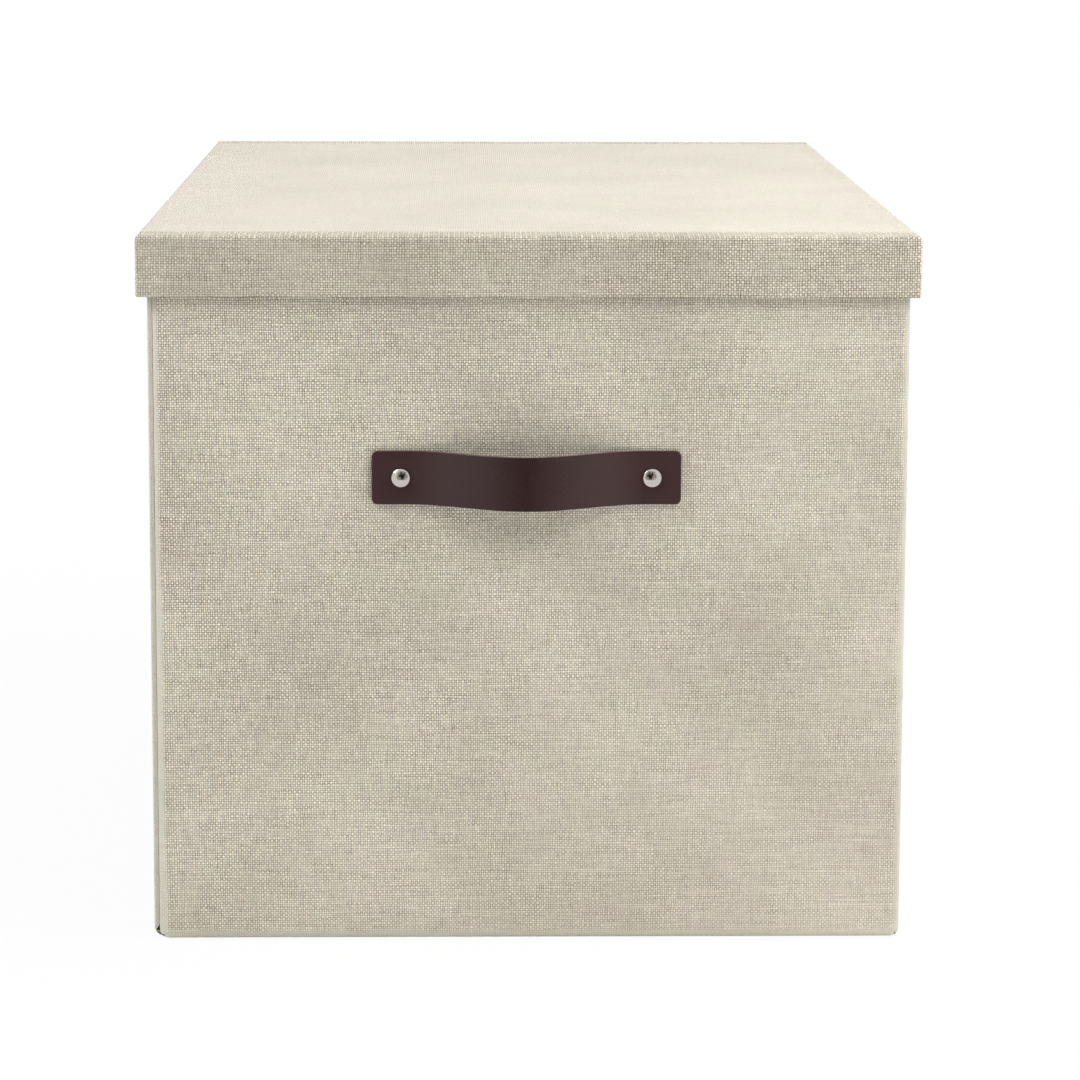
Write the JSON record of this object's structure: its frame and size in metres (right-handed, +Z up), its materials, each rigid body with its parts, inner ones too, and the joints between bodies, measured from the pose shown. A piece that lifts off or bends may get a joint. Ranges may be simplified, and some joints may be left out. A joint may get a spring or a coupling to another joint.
{
  "type": "lidded file box",
  "caption": "Cloth-covered board file box with a lift-off telescoping lid, an open lined inside and a bowed leather strap pull on its front.",
  "frame": {"origin": "centre of the underside, on the surface the box stands on", "axes": "+Z up, the front with the strap faces -Y, the width lies along X"},
  "size_m": [0.33, 0.5154, 0.3057],
  "materials": {
    "woven_cover": "matt plain weave on paper, natural linen colour",
    "board": "raw grey board",
    "lining_paper": "smooth off-white paper",
    "strap_leather": "dark brown, fine grain, soft sheen",
    "stud_metal": "polished",
    "screw_metal": "plain nickel plate"
  },
  "bodies": {
    "box": {"front_board": "board", "right_board": "board", "back_board": "board", "left_board": "board", "seam_flap_board": "board", "front_tuck_board": "board", "right_tuck_board": "board", "back_tuck_board": "board", "left_tuck_board": "board", "base_board": "board", "body_cover": "woven_cover", "wall_lining": "lining_paper", "base_lining": "lining_paper", "base_paper": "lining_paper", "handle_strap": "strap_leather", "stud_left": "stud_metal", "stud_right": "stud_metal", "washer_left": "screw_metal", "washer_right": "screw_metal", "screw_left": "screw_metal", "screw_right": "screw_metal"},
    "lid": {"lid_top_board": "board", "lid_front_board": "board", "lid_right_board": "board", "lid_back_board": "board", "lid_left_board": "board", "lid_cover": "woven_cover", "lid_lining": "lining_paper"}
  },
  "joints": [
    {"name": "lid_lift", "type": "slide", "parent": "box", "child": "lid", "axis": [0, 0, 1], "range_m": [0, 0.35]}
  ]
}
